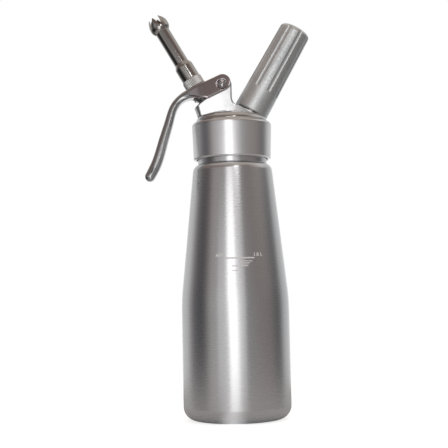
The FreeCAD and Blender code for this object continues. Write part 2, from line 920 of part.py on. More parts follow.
def make_holder():
    """Fluted sleeve that screws over the charger, with a closed rounded end."""
    low = holder_start
    high = holder_end
    slope = (holder_base_radius - holder_tip_radius) / holder_length
    end_centre = (holder_tip_radius - holder_end_round, high - holder_end_round)
    shell = lathe([
        (0, low),
        (holder_base_radius - holder_rim_chamfer, low),
        (holder_base_radius, low + holder_rim_chamfer),
        (holder_tip_radius, end_centre[1]),
        arc_about(end_centre, holder_end_round, 0, 90),
        (0, high),
    ])
    mouth_high = nose_top + holder_mouth_room
    bore = lathe([
        (0, low - overcut),
        (holder_mouth_bore, low - overcut),
        (holder_mouth_bore, mouth_high),
        (holder_bore, mouth_high + holder_mouth_cone),
        (holder_bore, high - holder_end_wall),
        (0, high - holder_end_wall),
    ])
    shell = shell.cut(bore)
    for index in range(flutes):
        shell = shell.cut(flute(index, low + flute_start, high + flute_radius, slope))
    ridge = thread(holder_mouth_bore, charger_thread_depth, charger_thread_base,
                   charger_thread_crest, charger_pitch,
                   boss_shoulder + charger_thread_start + charger_pitch / 2, charger_turns,
                   inward=True)
    return on_charger(one_solid(shell.fuse(ridge)))


def flute(index, low, high, slope):
    """Round-bottomed groove with a ball end, parallel to the tapered wall."""
    centre = flute_radius - flute_depth
    wall_low = holder_base_radius - slope * (low - holder_start)
    wall_high = holder_base_radius - slope * (high - holder_start)
    start = V(wall_low + centre, 0, low)
    end = V(wall_high + centre, 0, high)
    run = end - start
    groove = Part.makeCylinder(flute_radius, run.Length, start, run)
    groove = groove.fuse(Part.makeSphere(flute_radius, start))
    groove.rotate(V(0, 0, 0), V(0, 0, 1), 360.0 * (index + 0.5) / flutes - 90)
    return groove


def make_piercing_pin():
    """Hollow pin on a low body that pierces the charger's neck."""
    low = recess_floor
    body_high = low + pin_body_height
    needle_high = body_high + pin_needle_height
    shape = lathe([
        (0, low),
        (pin_body_radius, low),
        (pin_body_radius, body_high),
        (pin_needle_radius, body_high),
        (pin_needle_radius, needle_high - pin_point_height),
        (0, needle_high),
    ])
    channel = disc(pin_channel_radius, low - overcut, needle_high - pin_channel_top)
    return on_charger(shape.cut(channel))


def make_inlet_body():
    """Gas inlet plug with a flange inside the head and a stub for the non-return sleeve."""
    flange_high = inlet_seat - inlet_washer_thickness
    flange_low = flange_high - inlet_flange_height
    stub_low = flange_low - inlet_stub_length
    shape = lathe([
        (0, stub_low),
        (inlet_stub_radius, stub_low),
        (inlet_stub_radius, flange_low),
        (inlet_flange_radius, flange_low),
        (inlet_flange_radius, flange_high),
        (inlet_radius, flange_high),
        (inlet_radius, recess_floor),
        (0, recess_floor),
    ])
    channel = disc(inlet_channel, stub_low + inlet_channel_floor, recess_floor + overcut)
    port_start = V(-2 * inlet_stub_radius, 0, stub_low + inlet_port_height)
    side_port = Part.makeCylinder(inlet_port_radius, 4 * inlet_stub_radius, port_start, V(1, 0, 0))
    return on_charger(shape.cut(channel).cut(side_port))


def make_inlet_washer():
    low = inlet_seat - inlet_washer_thickness
    return on_charger(ring(inlet_radius, inlet_flange_radius, low, inlet_seat))


def make_inlet_rubber():
    high = inlet_seat - inlet_washer_thickness - inlet_flange_height
    low = high - inlet_stub_length + inlet_rubber_gap
    return on_charger(ring(inlet_stub_radius, inlet_stub_radius + inlet_rubber_wall, low, high))


def make_charger_gasket():
    low = recess_floor + pin_body_height
    inner = pin_needle_radius + charger_gasket_gap
    return on_charger(ring(inner, recess_radius, low, charger_low - face_clearance))


# ------------------------------------------------------------------ lever
def make_pin():
    """Pivot pin with domed ends and a groove for a clip near each end."""
    half = cheek_outer + pin_proud
    groove_low = cheek_outer - cheek_recess_depth
    groove_high = groove_low + clip_thickness
    floor = pin_radius - clip_groove_depth
    side = [
        (pin_radius, groove_low),
        (floor, groove_low),
        (floor, groove_high),
        (pin_radius, groove_high),
        (pin_radius, half - pin_dome),
        cap_arc(pin_radius, half - pin_dome, half),
    ]
    half_pin = lathe([(0, 0), (pin_radius, 0)] + side)
    other = half_pin.copy()
    other.rotate(V(0, 0, 0), V(1, 0, 0), 180)
    pin = half_pin.fuse(other).removeSplitter()
    pin.rotate(V(0, 0, 0), V(1, 0, 0), 90)
    pin.translate(pivot)
    return one_solid(pin)


def make_pin_clips():
    """Two open retaining rings in the pin's grooves."""
    clips = []
    for side in (-1, 1):
        low = cheek_outer - cheek_recess_depth + face_clearance
        clip = ring(pin_radius - clip_groove_depth, clip_radius, low,
                    low + clip_thickness - 2 * face_clearance)
        mouth = Part.makeBox(2 * clip_radius, clip_mouth, 4 * cheek_outer,
                             V(0, -clip_mouth / 2, 0))
        clip = clip.cut(mouth)
        clip.rotate(V(0, 0, 0), V(0, 0, 1), 90)
        clip.rotate(V(0, 0, 0), V(1, 0, 0), -side * 90)
        clip.translate(pivot)
        clips.append(one_solid(clip))
    return Part.makeCompound(clips)


def lever_path():
    """The lever's middle line: straight runs joined by tangent arcs."""
    corners = [pivot + V(x, 0, z) for x, z in lever_line]
    edges = []
    here = corners[0]
    for index, radius in enumerate(lever_bends):
        corner = corners[index + 1]
        back = (here - corner).normalize()
        ahead = (corners[index + 2] - corner).normalize()
        half = back.getAngle(ahead) / 2
        reach = radius / math.tan(half)
        start = corner + back * reach
        end = corner + ahead * reach
        centre = corner + (back + ahead).normalize() * (radius / math.sin(half))
        middle = centre + (corner - centre).normalize() * radius
        edges.append(Part.LineSegment(here, start).toShape())
        edges.append(Part.Arc(start, middle, end).toShape())
        here = end
    edges.append(Part.LineSegment(here, corners[-1]).toShape())
    return edges


def path_frame(edges, share):
    """Point and direction at a share of the whole length."""
    total = sum(edge.Length for edge in edges)
    left = share * total
    for edge in edges:
        if left <= edge.Length + 1e-9:
            where = edge.getParameterByLength(min(left, edge.Length))
            return edge.valueAt(where), edge.tangentAt(where)
        left -= edge.Length
    return edges[-1].valueAt(edges[-1].LastParameter), edges[-1].tangentAt(edges[-1].LastParameter)


def section_wire(centre, ahead, depth, width, corner):
    """Rounded rectangle across the lever's middle line."""
    across = V(0, 1, 0)
    up = ahead.cross(across)
    reach = width / 2 - corner
    rise = depth / 2 - corner
    edges = []
    quarters = ((1, 1, 0), (-1, 1, 0.5 * math.pi), (-1, -1, math.pi), (1, -1, 1.5 * math.pi))
    points = []
    for side, lift, start in quarters:
        middle = centre + across * (side * reach) + up * (lift * rise)
        trio = []
        for step in range(3):
            turn = start + 0.25 * math.pi * step
            spoke = across * math.cos(turn) + up * math.sin(turn)
            trio.append(middle + spoke * corner)
        points.append(trio)
    for index, trio in enumerate(points):
        edges.append(Part.Arc(trio[0], trio[1], trio[2]).toShape())
        after = points[(index + 1) % 4][0]
        edges.append(Part.LineSegment(trio[2], after).toShape())
    return Part.Wire(edges)


def handle():
    edges = lever_path()
    wires = []
    for share, depth, width, corner in lever_sections:
        centre, ahead = path_frame(edges, share)
        wires.append(section_wire(centre, ahead, depth, width, corner))
    last_share, depth, width, corner = lever_sections[-1]
    for step in range(1, handle_cap_steps + 1):
        turn = 0.5 * math.pi * step / (handle_cap_steps + handle_cap_edge)
        share = last_share + (1 - last_share) * math.sin(turn)
        shrink = math.cos(turn)
        centre, ahead = path_frame(edges, share)
        cap_depth = depth * shrink
        cap_width = width - depth * (1 - shrink)
        cap_corner = min(corner, cap_depth * handle_cap_corner)
        wires.append(section_wire(centre, ahead, cap_depth, cap_width, cap_corner))
    return Part.makeLoft(wires, True, False)


def fork():
    """The two cheeks and what joins them, still without the gap for bracket and stem."""
    edges = lever_path()
    start, ahead = path_frame(edges, 0)
    up = ahead.cross(V(0, 1, 0))
    depth = lever_sections[0][1]
    top = start + up * (depth / 2)
    low = start - up * (depth / 2)
    if top.z < low.z:
        top, low = low, top
    away = (top - pivot).normalize()
    rise = V(-away.z, 0, away.x)
    if rise.z < 0:
        rise = rise * -1
    end_centre = pivot + rise * cheek_end_rise
    radius = cheek_end_radius
    upper = tangent_point(end_centre, radius, top, 1)
    lower = tangent_point(end_centre, radius, low, -1)
    nose = end_centre + (end_centre - start).normalize() * radius
    face = outline([
        (top.x, top.z),
        (upper.x, upper.z),
        ((nose.x, nose.z), (lower.x, lower.z)),
        (low.x, low.z),
    ])
    plate = slab(face, cheek_outer)
    rims = []
    for edge in plate.Edges:
        box = edge.BoundBox
        flat = box.YLength < 1e-6
        at_start = abs((edge.CenterOfMass - start).dot(ahead)) < 1e-4
        if flat and not at_start:
            rims.append(edge)
    return plate.makeFillet(cheek_edge_round, rims)


def tangent_point(centre, radius, outside, side):
    """Where a line from an outside point touches a circle, above (1) or below (-1) it."""
    span = outside - centre
    angle = math.atan2(span.z, span.x)
    spread = math.acos(radius / span.Length)
    turn = angle - side * spread
    return centre + V(radius * math.cos(turn), 0, radius * math.sin(turn))


def gap_block(half, end, low, high):
    """Slot about the valve axis, open towards the pivot, round at its other end."""
    reach = lever_arm + 4 * bracket_eye
    box = Part.makeBox(reach + end - half, 2 * half, high - low, V(half - end, -half, low))
    round_end = Part.makeCylinder(half, high - low, V(half - end, 0, low))
    return on_valve(box.fuse(round_end))


def make_lever():
    body = fork().fuse(handle()).removeSplitter()
    low = web_low - 2 * lever_arm
    high = web_high + 2 * lever_arm
    body = body.cut(gap_block(cheek_inner, cheek_inner + fork_room, low, web_low))
    body = body.cut(gap_block(cheek_inner, cheek_inner + fork_room, web_high, high))
    body = body.cut(gap_block(slot_half, slot_end, web_low - overcut, web_high + overcut))
    reach = 2 * lever_arm + 4 * bracket_eye
    opening = Part.makeBox(reach, 2 * cheek_inner, high - low, V(web_reach, -cheek_inner, low))
    body = body.cut(on_valve(opening))
    body = body.fuse(press_pads())
    body = body.cut(pivot_hole(pin_radius + running_clearance))
    for side in (-1, 1):
        floor = pivot + V(0, side * (cheek_outer - cheek_recess_depth), 0)
        body = body.cut(Part.makeCylinder(cheek_recess_radius, cheek_recess_depth + overcut, floor,
                                          V(0, side, 0)))
    return one_solid(body)


def press_pads():
    """Two rounded pads beside the stem that push its collar."""
    middle = collar_high + press_gap + press_pad_radius
    pads = []
    for side in (-1, 1):
        start = V(0, side * slot_half, middle)
        length = cheek_inner - slot_half + press_pad_sink
        pads.append(Part.makeCylinder(press_pad_radius, length, start, V(0, side, 0)))
    return on_valve(pads[0].fuse(pads[1]))


# ------------------------------------------------------------------ all pieces
makers = {
    "bottle": make_bottle,
    "head": make_head,
    "lever_bracket": make_lever_bracket,
    "head_gasket": make_head_gasket,
    "valve_stem": make_stem,
    "stem_o_ring": make_stem_o_ring,
    "valve_seal": make_valve_seal,
    "valve_washer": make_valve_washer,
    "valve_nut": make_valve_nut,
    "valve_spring": make_valve_spring,
    "decorating_tip": make_tip,
    "grip_collar": make_grip_collar,
    "tip_seal": make_tip_seal,
    "gas_charger": make_charger,
    "charger_holder": make_holder,
    "piercing_pin": make_piercing_pin,
    "inlet_body": make_inlet_body,
    "inlet_washer": make_inlet_washer,
    "inlet_valve_rubber": make_inlet_rubber,
    "charger_gasket": make_charger_gasket,
    "lever": make_lever,
    "lever_pin": make_pin,
    "pin_clips": make_pin_clips,
}

os.makedirs("parts", exist_ok=True)
for name, maker in makers.items():
    save(name, maker())
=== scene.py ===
import math

import bmesh
import bpy
from mathutils import Matrix, Vector


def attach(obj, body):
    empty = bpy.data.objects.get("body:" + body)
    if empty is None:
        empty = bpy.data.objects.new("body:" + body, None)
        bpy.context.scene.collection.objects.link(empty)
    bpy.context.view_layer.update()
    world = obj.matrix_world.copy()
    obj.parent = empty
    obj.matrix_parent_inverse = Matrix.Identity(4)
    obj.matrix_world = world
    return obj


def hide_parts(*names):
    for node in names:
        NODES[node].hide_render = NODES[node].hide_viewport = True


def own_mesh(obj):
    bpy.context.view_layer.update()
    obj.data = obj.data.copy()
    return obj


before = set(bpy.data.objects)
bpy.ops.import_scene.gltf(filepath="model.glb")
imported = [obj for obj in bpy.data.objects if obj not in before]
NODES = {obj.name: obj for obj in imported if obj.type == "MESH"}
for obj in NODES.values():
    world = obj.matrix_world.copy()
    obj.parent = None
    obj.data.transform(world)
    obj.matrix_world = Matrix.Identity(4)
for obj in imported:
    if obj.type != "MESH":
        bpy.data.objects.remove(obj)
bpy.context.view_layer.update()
SCENE = bpy.context.scene

MM = 0.001
LEAN = math.radians(30)

# Camera: where it stands and how it looks
CAMERA_AWAY = 0.840
CAMERA_HEIGHT = 0.102
CAMERA_PITCH = math.radians(4.03)
CAMERA_ROLL = math.radians(1.2)
CAMERA_YAW = math.radians(-0.55)
CAMERA_LENS = 81.0
CAMERA_SENSOR = 36.0

# Soft light panels in front of the object: name, left, right, low and high edge in metres, light,
# and how far each leans to the left in degrees
PANEL_DISTANCE = 0.40
PANELS = (
    ("front_light", -0.112, 0.022, -0.03, 0.350, 1.45, 6.5),
    ("side_light", -0.300, -0.112, -0.03, 0.290, 0.38, 0.0),
    ("shoulder_light", 0.022, 0.075, -0.03, 0.250, 0.66, 0.0),
    ("edge_light", 0.075, 0.150, -0.03, 0.250, 0.42, 0.0),
    ("upper_light", 0.034, 0.128, 0.380, 0.446, 5.9, 0.0),
)

# Studio: brightness and tint round the object by compass angle in degrees, seen from above.
# 0 is the camera's side and positive angles go to the camera's right.
STUDIO_BANDS = (
    (-180, 1.0, (1.0, 1.0, 1.0)),
    (-158, 0.55, (1.0, 1.0, 1.0)),
    (-128, 0.66, (1.0, 1.0, 1.0)),
    (-112, 0.30, (1.0, 0.93, 0.90)),
    (-98, 0.12, (0.98, 0.97, 1.02)),
    (-80, 0.055, (0.93, 0.97, 1.10)),
    (-67, 0.10, (1.0, 0.97, 1.0)),
    (-55, 0.42, (1.04, 0.96, 0.94)),
    (-42, 0.42, (1.0, 0.98, 0.98)),
    (-30, 0.20, (1.0, 0.98, 0.98)),
    (-18, 0.32, (1.0, 0.98, 0.98)),
    (6, 0.26, (1.0, 0.96, 0.95)),
    (18, 0.24, (1.0, 0.97, 0.97)),
    (34, 0.25, (1.0, 0.98, 0.97)),
    (52, 0.225, (1.0, 0.90, 0.87)),
    (80, 0.20, (1.0, 0.87, 0.83)),
    (94, 0.095, (1.0, 0.98, 1.0)),
    (110, 0.10, (1.0, 1.0, 1.0)),
    (124, 0.50, (1.0, 1.0, 1.0)),
    (158, 0.66, (1.0, 1.0, 1.0)),
    (180, 1.0, (1.0, 1.0, 1.0)),
)
# The bands' lower and upper ends and the ceiling's start, as degrees above the horizon
BANDS_LOW = -10.0
BANDS_TOP = 20.0
BANDS_FADE = 3.0
CEILING_START = 40.0
CEILING_FADE = 22.0
# Light above the bands on the camera's side, the compass angles between which it brightens to the
# right, and how far back, as a part of the ray's length along +Y, the bands take over again
UPPER_LIGHT = (0.21, 0.165, 0.15)
UPPER_RIGHT = (0.78, 0.74, 0.72)
UPPER_TURN = (50.0, 115.0)
UPPER_BACK = (0.2, 0.7)
CEILING_LIGHT = (0.52, 0.47, 0.42)
# How much of the bands' light stays below them, left and right, and where along X that changes
LOW_LEFT = 0.32
LOW_RIGHT = 0.9
LOW_SPAN = 0.3
# The white backdrop that metal and glass mirror: the parts of the ray's length along +Y between
# which it fades in, about 22 to 14 degrees from straight behind the object
BACKDROP = (0.93, 0.97)

# Places on the object in metres, as the part has them: the bottle's taper, the top of the head's
# skirt, the point where the valve's and the charger's axes cross, and the lever's bend
CONE_RADIUS = 0.0332
CONE_TOP = 0.2049
CONE_SLOPE = 0.10610
SKIRT_TOP = 0.2434
CROSS_HEIGHT = 0.2269814
LEVER_BEND = -0.033
HANDLE_TOP = 0.262

# Metal: what share of its drift follows the scratches, how much rougher satin is, how dark the
# painted shade gets where a neighbour is near and over what share of open view it fades out, how
# wide another colour fades in and how far to the right edges are softened
SCRATCH_SHARE = 0.6
DRIFT = (0.35, 0.65)
SCRATCHED = (0.3, 0.7)
SATIN = 2.2
PAINTED_CORNER_SHADE = 0.6
PAINTED_SHADE_OPEN = (0.25, 0.75)
OTHER_FADE = 0.002
ROUNDED_TO = -0.004
EDGE_SAMPLES = 8
RELIEF = 0.0001
QUARTER_TURN = 0.25

# Noise: scratches, which take their scale from each metal's grain, soft clouds of colour, the
# unevenness of a casting, and the grit of rubber and paint
SCRATCH_NOISE = {"Scale": 1.0, "Detail": 4.0, "Roughness": 0.65}
CLOUD_NOISE = {"Scale": 38.0, "Detail": 3.0, "Roughness": 0.55}
SWELL_NOISE = {"Scale": 55.0, "Detail": 0.0}
GRIT_NOISE = {"Scale": 900.0, "Detail": 3.0}
GRIT_BUMP = 0.3

# Fill lines: start and end angle in degrees, height and thickness in mm
FILL_LINES = (
    (-10.9, 23.1, 131.2, 1.1),
    (5.0, 20.3, 128.7, 0.6),
    (5.0, 17.8, 127.4, 0.55),
    (4.0, 16.4, 126.2, 0.55),
    (-3.0, 15.4, 124.9, 0.8),
    (-3.0, 3.6, 121.2, 0.6),
)
# Fill words: piece name, text, start and end angle in degrees, lower and upper edge in mm
FILL_WORDS = (
    ("fill_word_max", "MAX", -21.0, -12.0, 132.2, 135.0),
    ("fill_word_litre", "1.0 L", 22.6, 33.4, 132.4, 135.4),
)
# Print: how far it stands proud in mm, how much wider the letters' strokes are and in how many
# steps they curve, a line's steps per degree and at least, and its rounded ends, as mm of length
# per degree and the least share of the thickness squared
PRINT_PROUD = 0.05
LETTER_WEIGHT = 0.03
LETTER_STEPS = 4
LINE_STEPS = 2
LINE_STEPS_LEAST = 8
PRINT_END_SLOPE = 0.7
PRINT_END_LEAST = 0.05

# Valve spring, in metres along and about the valve's axis, with its turns, how many of them lie
# closed at each end, and its mesh's steps per turn and sides
SPRING_LOW = 0.03302
SPRING_HIGH = 0.04688
SPRING_RADIUS = 0.00535
SPRING_WIRE = 0.0005
SPRING_TURNS = 6
SPRING_CLOSED = 0.75
SPRING_STEPS = 40
SPRING_SIDES = 10

# Floor: its own colour and the darker colour that metal mirrors, painted shade in its reflection,
# its glow for the camera and in metal, and the brighter streak in metal, a painted highlight on the
# floor in front: left and right compass angle, half width of its edges, light
FLOOR_RADIUS = 0.30
FLOOR_SIDES = 128
FLOOR_DROP = 0.0002
FLOOR_COLOUR = 0.80
FLOOR_PAINTED_SHADE_MIRRORED = 0.62
FLOOR_GLOW = 0.72
FLOOR_MIRRORED = 0.055
FLOOR_PAINTED_STREAK = (-14.0, 3.0, 14.0)
FLOOR_PAINTED_STREAK_LIGHT = 0.55


# ------------------------------------------------------------------ node helpers
def add(tree, kind, inputs=None, **settings):
    """A shader node; an input is a value, or an output socket to link from."""
    node = tree.nodes.new(kind)
    for name, value in settings.items():
        setattr(node, name, value)
    for name, value in (inputs or {}).items():
        if isinstance(value, bpy.types.NodeSocket):
            tree.links.new(value, node.inputs[name])
        else:
            node.inputs[name].default_value = value
    return node


def maths(tree, operation, first, second=0.0):
    return add(tree, "ShaderNodeMath", {0: first, 1: second}, operation=operation).outputs[0]


def spread(tree, value, low, high, to_low=0.0, to_high=1.0, smooth=False):
    kind = "SMOOTHSTEP" if smooth else "LINEAR"
    node = add(tree, "ShaderNodeMapRange", {
        "Value": value, "From Min": low, "From Max": high, "To Min": to_low, "To Max": to_high,
    }, interpolation_type=kind)
    return node.outputs["Result"]


def mix_colour(tree, share, first, second):
    node = add(tree, "ShaderNodeMix", {0: share, 6: first, 7: second}, data_type="RGBA")
    return node.outputs[2]


def scale_colour(tree, colour, factor):
    return add(tree, "ShaderNodeVectorMath", {0: colour, 3: factor}, operation="SCALE").outputs[0]


def rgba(colour):
    return (colour[0], colour[1], colour[2], 1.0)


def new_material(name):
    """An empty material, its node tree and the object's own coordinates in it."""
    made = bpy.data.materials.new(name)
    made.use_nodes = True
    tree = made.node_tree
    tree.nodes.clear()
    return made, tree, add(tree, "ShaderNodeTexCoord").outputs["Object"]


# ------------------------------------------------------------------ camera, world and floor
def make_camera():
    ahead = Vector((
        math.sin(CAMERA_YAW) * math.cos(CAMERA_PITCH),
        math.cos(CAMERA_YAW) * math.cos(CAMERA_PITCH),
        math.sin(CAMERA_PITCH),
    ))
    level = Vector((math.cos(CAMERA_YAW), -math.sin(CAMERA_YAW), 0))
    up = level.cross(ahead)
    right = level * math.cos(CAMERA_ROLL) - up * math.sin(CAMERA_ROLL)
    up = level * math.sin(CAMERA_ROLL) + up * math.cos(CAMERA_ROLL)
    data = bpy.data.cameras.new("camera")
    data.lens = CAMERA_LENS
    data.sensor_width = CAMERA_SENSOR
    camera = bpy.data.objects.new("camera", data)
    SCENE.collection.objects.link(camera)
    turn = Matrix((right, up, -ahead)).transposed().to_4x4()
    camera.matrix_world = Matrix.Translation((0, -CAMERA_AWAY, CAMERA_HEIGHT)) @ turn
    SCENE.camera = camera


def make_world():
    """Soft bands round the object. The camera sees plain white, and metal and glass see that white
    behind the object and the bands elsewhere."""
    world = bpy.data.worlds.new("studio")
    SCENE.world = world
    world.use_nodes = True
    tree = world.node_tree
    tree.nodes.clear()
    place = add(tree, "ShaderNodeTexCoord").outputs["Generated"]
    axes = add(tree, "ShaderNodeSeparateXYZ", {0: place}).outputs
    toward = maths(tree, "MULTIPLY", axes["Y"], -1.0)
    compass = maths(tree, "ARCTAN2", axes["X"], toward)
    share = spread(tree, compass, -math.pi, math.pi)
    ramp = add(tree, "ShaderNodeValToRGB", {"Fac": share})
    fill_ramp(ramp.color_ramp)
    rise = maths(tree, "ARCSINE", axes["Z"])
    lowest = spread(tree, axes["X"], -LOW_SPAN, LOW_SPAN, LOW_LEFT, LOW_RIGHT, smooth=True)
    low = spread(tree, rise, math.radians(BANDS_LOW - BANDS_FADE),
                 math.radians(BANDS_LOW + BANDS_FADE), lowest, 1.0, smooth=True)
    bands = scale_colour(tree, ramp.outputs["Color"], low)
    above = spread(tree, rise, math.radians(BANDS_TOP - BANDS_FADE),
                   math.radians(BANDS_TOP + BANDS_FADE), smooth=True)
    overhead = spread(tree, rise, math.radians(CEILING_START),
                      math.radians(CEILING_START + CEILING_FADE), smooth=True)
    behind = spread(tree, axes["Y"], *UPPER_BACK, smooth=True)
    above = maths(tree, "MULTIPLY", above, maths(tree, "SUBTRACT", 1.0, behind))
    rightward = spread(tree, compass, math.radians(UPPER_TURN[0]), math.radians(UPPER_TURN[1]))
    upper = mix_colour(tree, rightward, rgba(UPPER_LIGHT), rgba(UPPER_RIGHT))
    upper = mix_colour(tree, above, bands, upper)
    light = mix_colour(tree, overhead, upper, rgba(CEILING_LIGHT))
    studio = add(tree, "ShaderNodeBackground", {"Color": light})
    white = add(tree, "ShaderNodeBackground", {"Color": rgba((1, 1, 1)), "Strength": 1.0})
    rays = add(tree, "ShaderNodeLightPath").outputs
    mirrored = maths(tree, "MAXIMUM", rays["Is Glossy Ray"], rays["Is Transmission Ray"])
    backdrop = maths(tree, "MULTIPLY", mirrored, spread(tree, axes["Y"], *BACKDROP, smooth=True))
    seen = maths(tree, "MAXIMUM", rays["Is Camera Ray"], backdrop)
    either = add(tree, "ShaderNodeMixShader", {0: seen, 1: studio.outputs[0], 2: white.outputs[0]})
    add(tree, "ShaderNodeOutputWorld", {"Surface": either.outputs[0]})


def fill_ramp(ramp):
    ramp.interpolation = "B_SPLINE"
    for index, (angle, light, tint) in enumerate(STUDIO_BANDS):
        share = (angle + 180) / 360
        stop = ramp.elements[0] if index == 0 else ramp.elements.new(share)
        stop.position = share
        stop.color = rgba([light * part for part in tint])


def make_panels():
    """Soft rectangular lights that face the object from the camera's side."""
    for name, left, right, low, high, light, lean in PANELS:
        data = bpy.data.lights.new(name, "AREA")
        data.shape = "RECTANGLE"
        data.size = right - left
        data.size_y = high - low
        data.energy = light * math.pi * data.size * data.size_y
        panel = bpy.data.objects.new(name, data)
        panel.location = (0.5 * (left + right), -PANEL_DISTANCE, 0.5 * (low + high))
        panel.rotation_euler = (math.pi / 2, -math.radians(lean), 0)
        SCENE.collection.objects.link(panel)


def make_floor():
    """Pale round floor, lifted to white for the camera where no shadow falls on it."""
    mesh = bpy.data.meshes.new("floor")
    shape = bmesh.new()
    bmesh.ops.create_circle(shape, cap_ends=True, segments=FLOOR_SIDES, radius=FLOOR_RADIUS)
    shape.to_mesh(mesh)
    shape.free()
    floor = bpy.data.objects.new("floor", mesh)
    floor.location.z = -FLOOR_DROP
    SCENE.collection.objects.link(floor)
    made, tree, place = new_material("pale_floor")
    rays = add(tree, "ShaderNodeLightPath").outputs
    # Metal sees the floor darker than the camera does: painted shade in its reflection.
    shade = spread(tree, rays["Is Glossy Ray"], 0.0, 1.0, FLOOR_COLOUR, FLOOR_PAINTED_SHADE_MIRRORED)
    grey = add(tree, "ShaderNodeCombineColor", {0: shade, 1: shade, 2: shade}).outputs[0]
    matt = add(tree, "ShaderNodeBsdfDiffuse", {"Color": grey})
    mirrored = maths(tree, "MAXIMUM", rays["Is Glossy Ray"], rays["Is Transmission Ray"])
    seen = maths(tree, "MULTIPLY", rays["Is Camera Ray"], FLOOR_GLOW)
    axes = add(tree, "ShaderNodeSeparateXYZ", {0: place}).outputs
    compass = maths(tree, "ARCTAN2", axes["X"], maths(tree, "MULTIPLY", axes["Y"], -1.0))
    # The streak: a painted highlight on the floor in front of the object that only metal sees.
    left, right, edge = [math.radians(angle) for angle in FLOOR_PAINTED_STREAK]
    streak = maths(tree, "MULTIPLY", spread(tree, compass, left - edge, left + edge, smooth=True),
                   spread(tree, compass, right - edge, right + edge, 1.0, 0.0, smooth=True))
    mirrored = maths(tree, "MULTIPLY", mirrored,
                     spread(tree, streak, 0.0, 1.0, FLOOR_MIRRORED, FLOOR_PAINTED_STREAK_LIGHT))
    glow = add(tree, "ShaderNodeEmission", {"Strength": maths(tree, "ADD", seen, mirrored)})
    both = add(tree, "ShaderNodeAddShader", {0: matt.outputs[0], 1: glow.outputs[0]})
    add(tree, "ShaderNodeOutputMaterial", {"Surface": both.outputs[0]})
    mesh.materials.append(made)


# ------------------------------------------------------------------ materials
def drifting_colour(tree, place, lines, colour, shade):
    """Colour that drifts to its shade along the scratches and in soft clouds."""
    clouds = add(tree, "ShaderNodeTexNoise", {"Vector": place, **CLOUD_NOISE}).outputs["Fac"]
    both = maths(tree, "ADD", maths(tree, "MULTIPLY", lines, SCRATCH_SHARE),
                 maths(tree, "MULTIPLY", clouds, 1.0 - SCRATCH_SHARE))
    return mix_colour(tree, spread(tree, both, *DRIFT), rgba(colour), rgba(shade))


def rounded_normal(tree, across, rounding):
    """Normal with softened edges, and the plain one to the right of ROUNDED_TO."""
    soft = add(tree, "ShaderNodeBevel", {"Radius": rounding}, samples=EDGE_SAMPLES).outputs[0]
    plain = add(tree, "ShaderNodeNewGeometry").outputs["Normal"]
    share = spread(tree, across, ROUNDED_TO - MM, ROUNDED_TO + MM)
    return add(tree, "ShaderNodeMix", {0: share, 4: soft, 5: plain}, data_type="VECTOR").outputs[1]


def tilted_normal(tree, normal, tilt):
    """The normal, or the plain one where there is none, leaned up by the tilt."""
    face = normal or add(tree, "ShaderNodeNewGeometry").outputs["Normal"]
    raised = add(tree, "ShaderNodeVectorMath", {0: face, 1: (0, 0, math.tan(tilt))},
                 operation="ADD").outputs[0]
    return add(tree, "ShaderNodeVectorMath", {0: raised}, operation="NORMALIZE").outputs[0]


def relief(tree, source, strength, distance, normal):
    inputs = {"Height": source, "Strength": strength, "Distance": distance}
    if normal:
        inputs["Normal"] = normal
    return add(tree, "ShaderNodeBump", inputs).outputs[0]


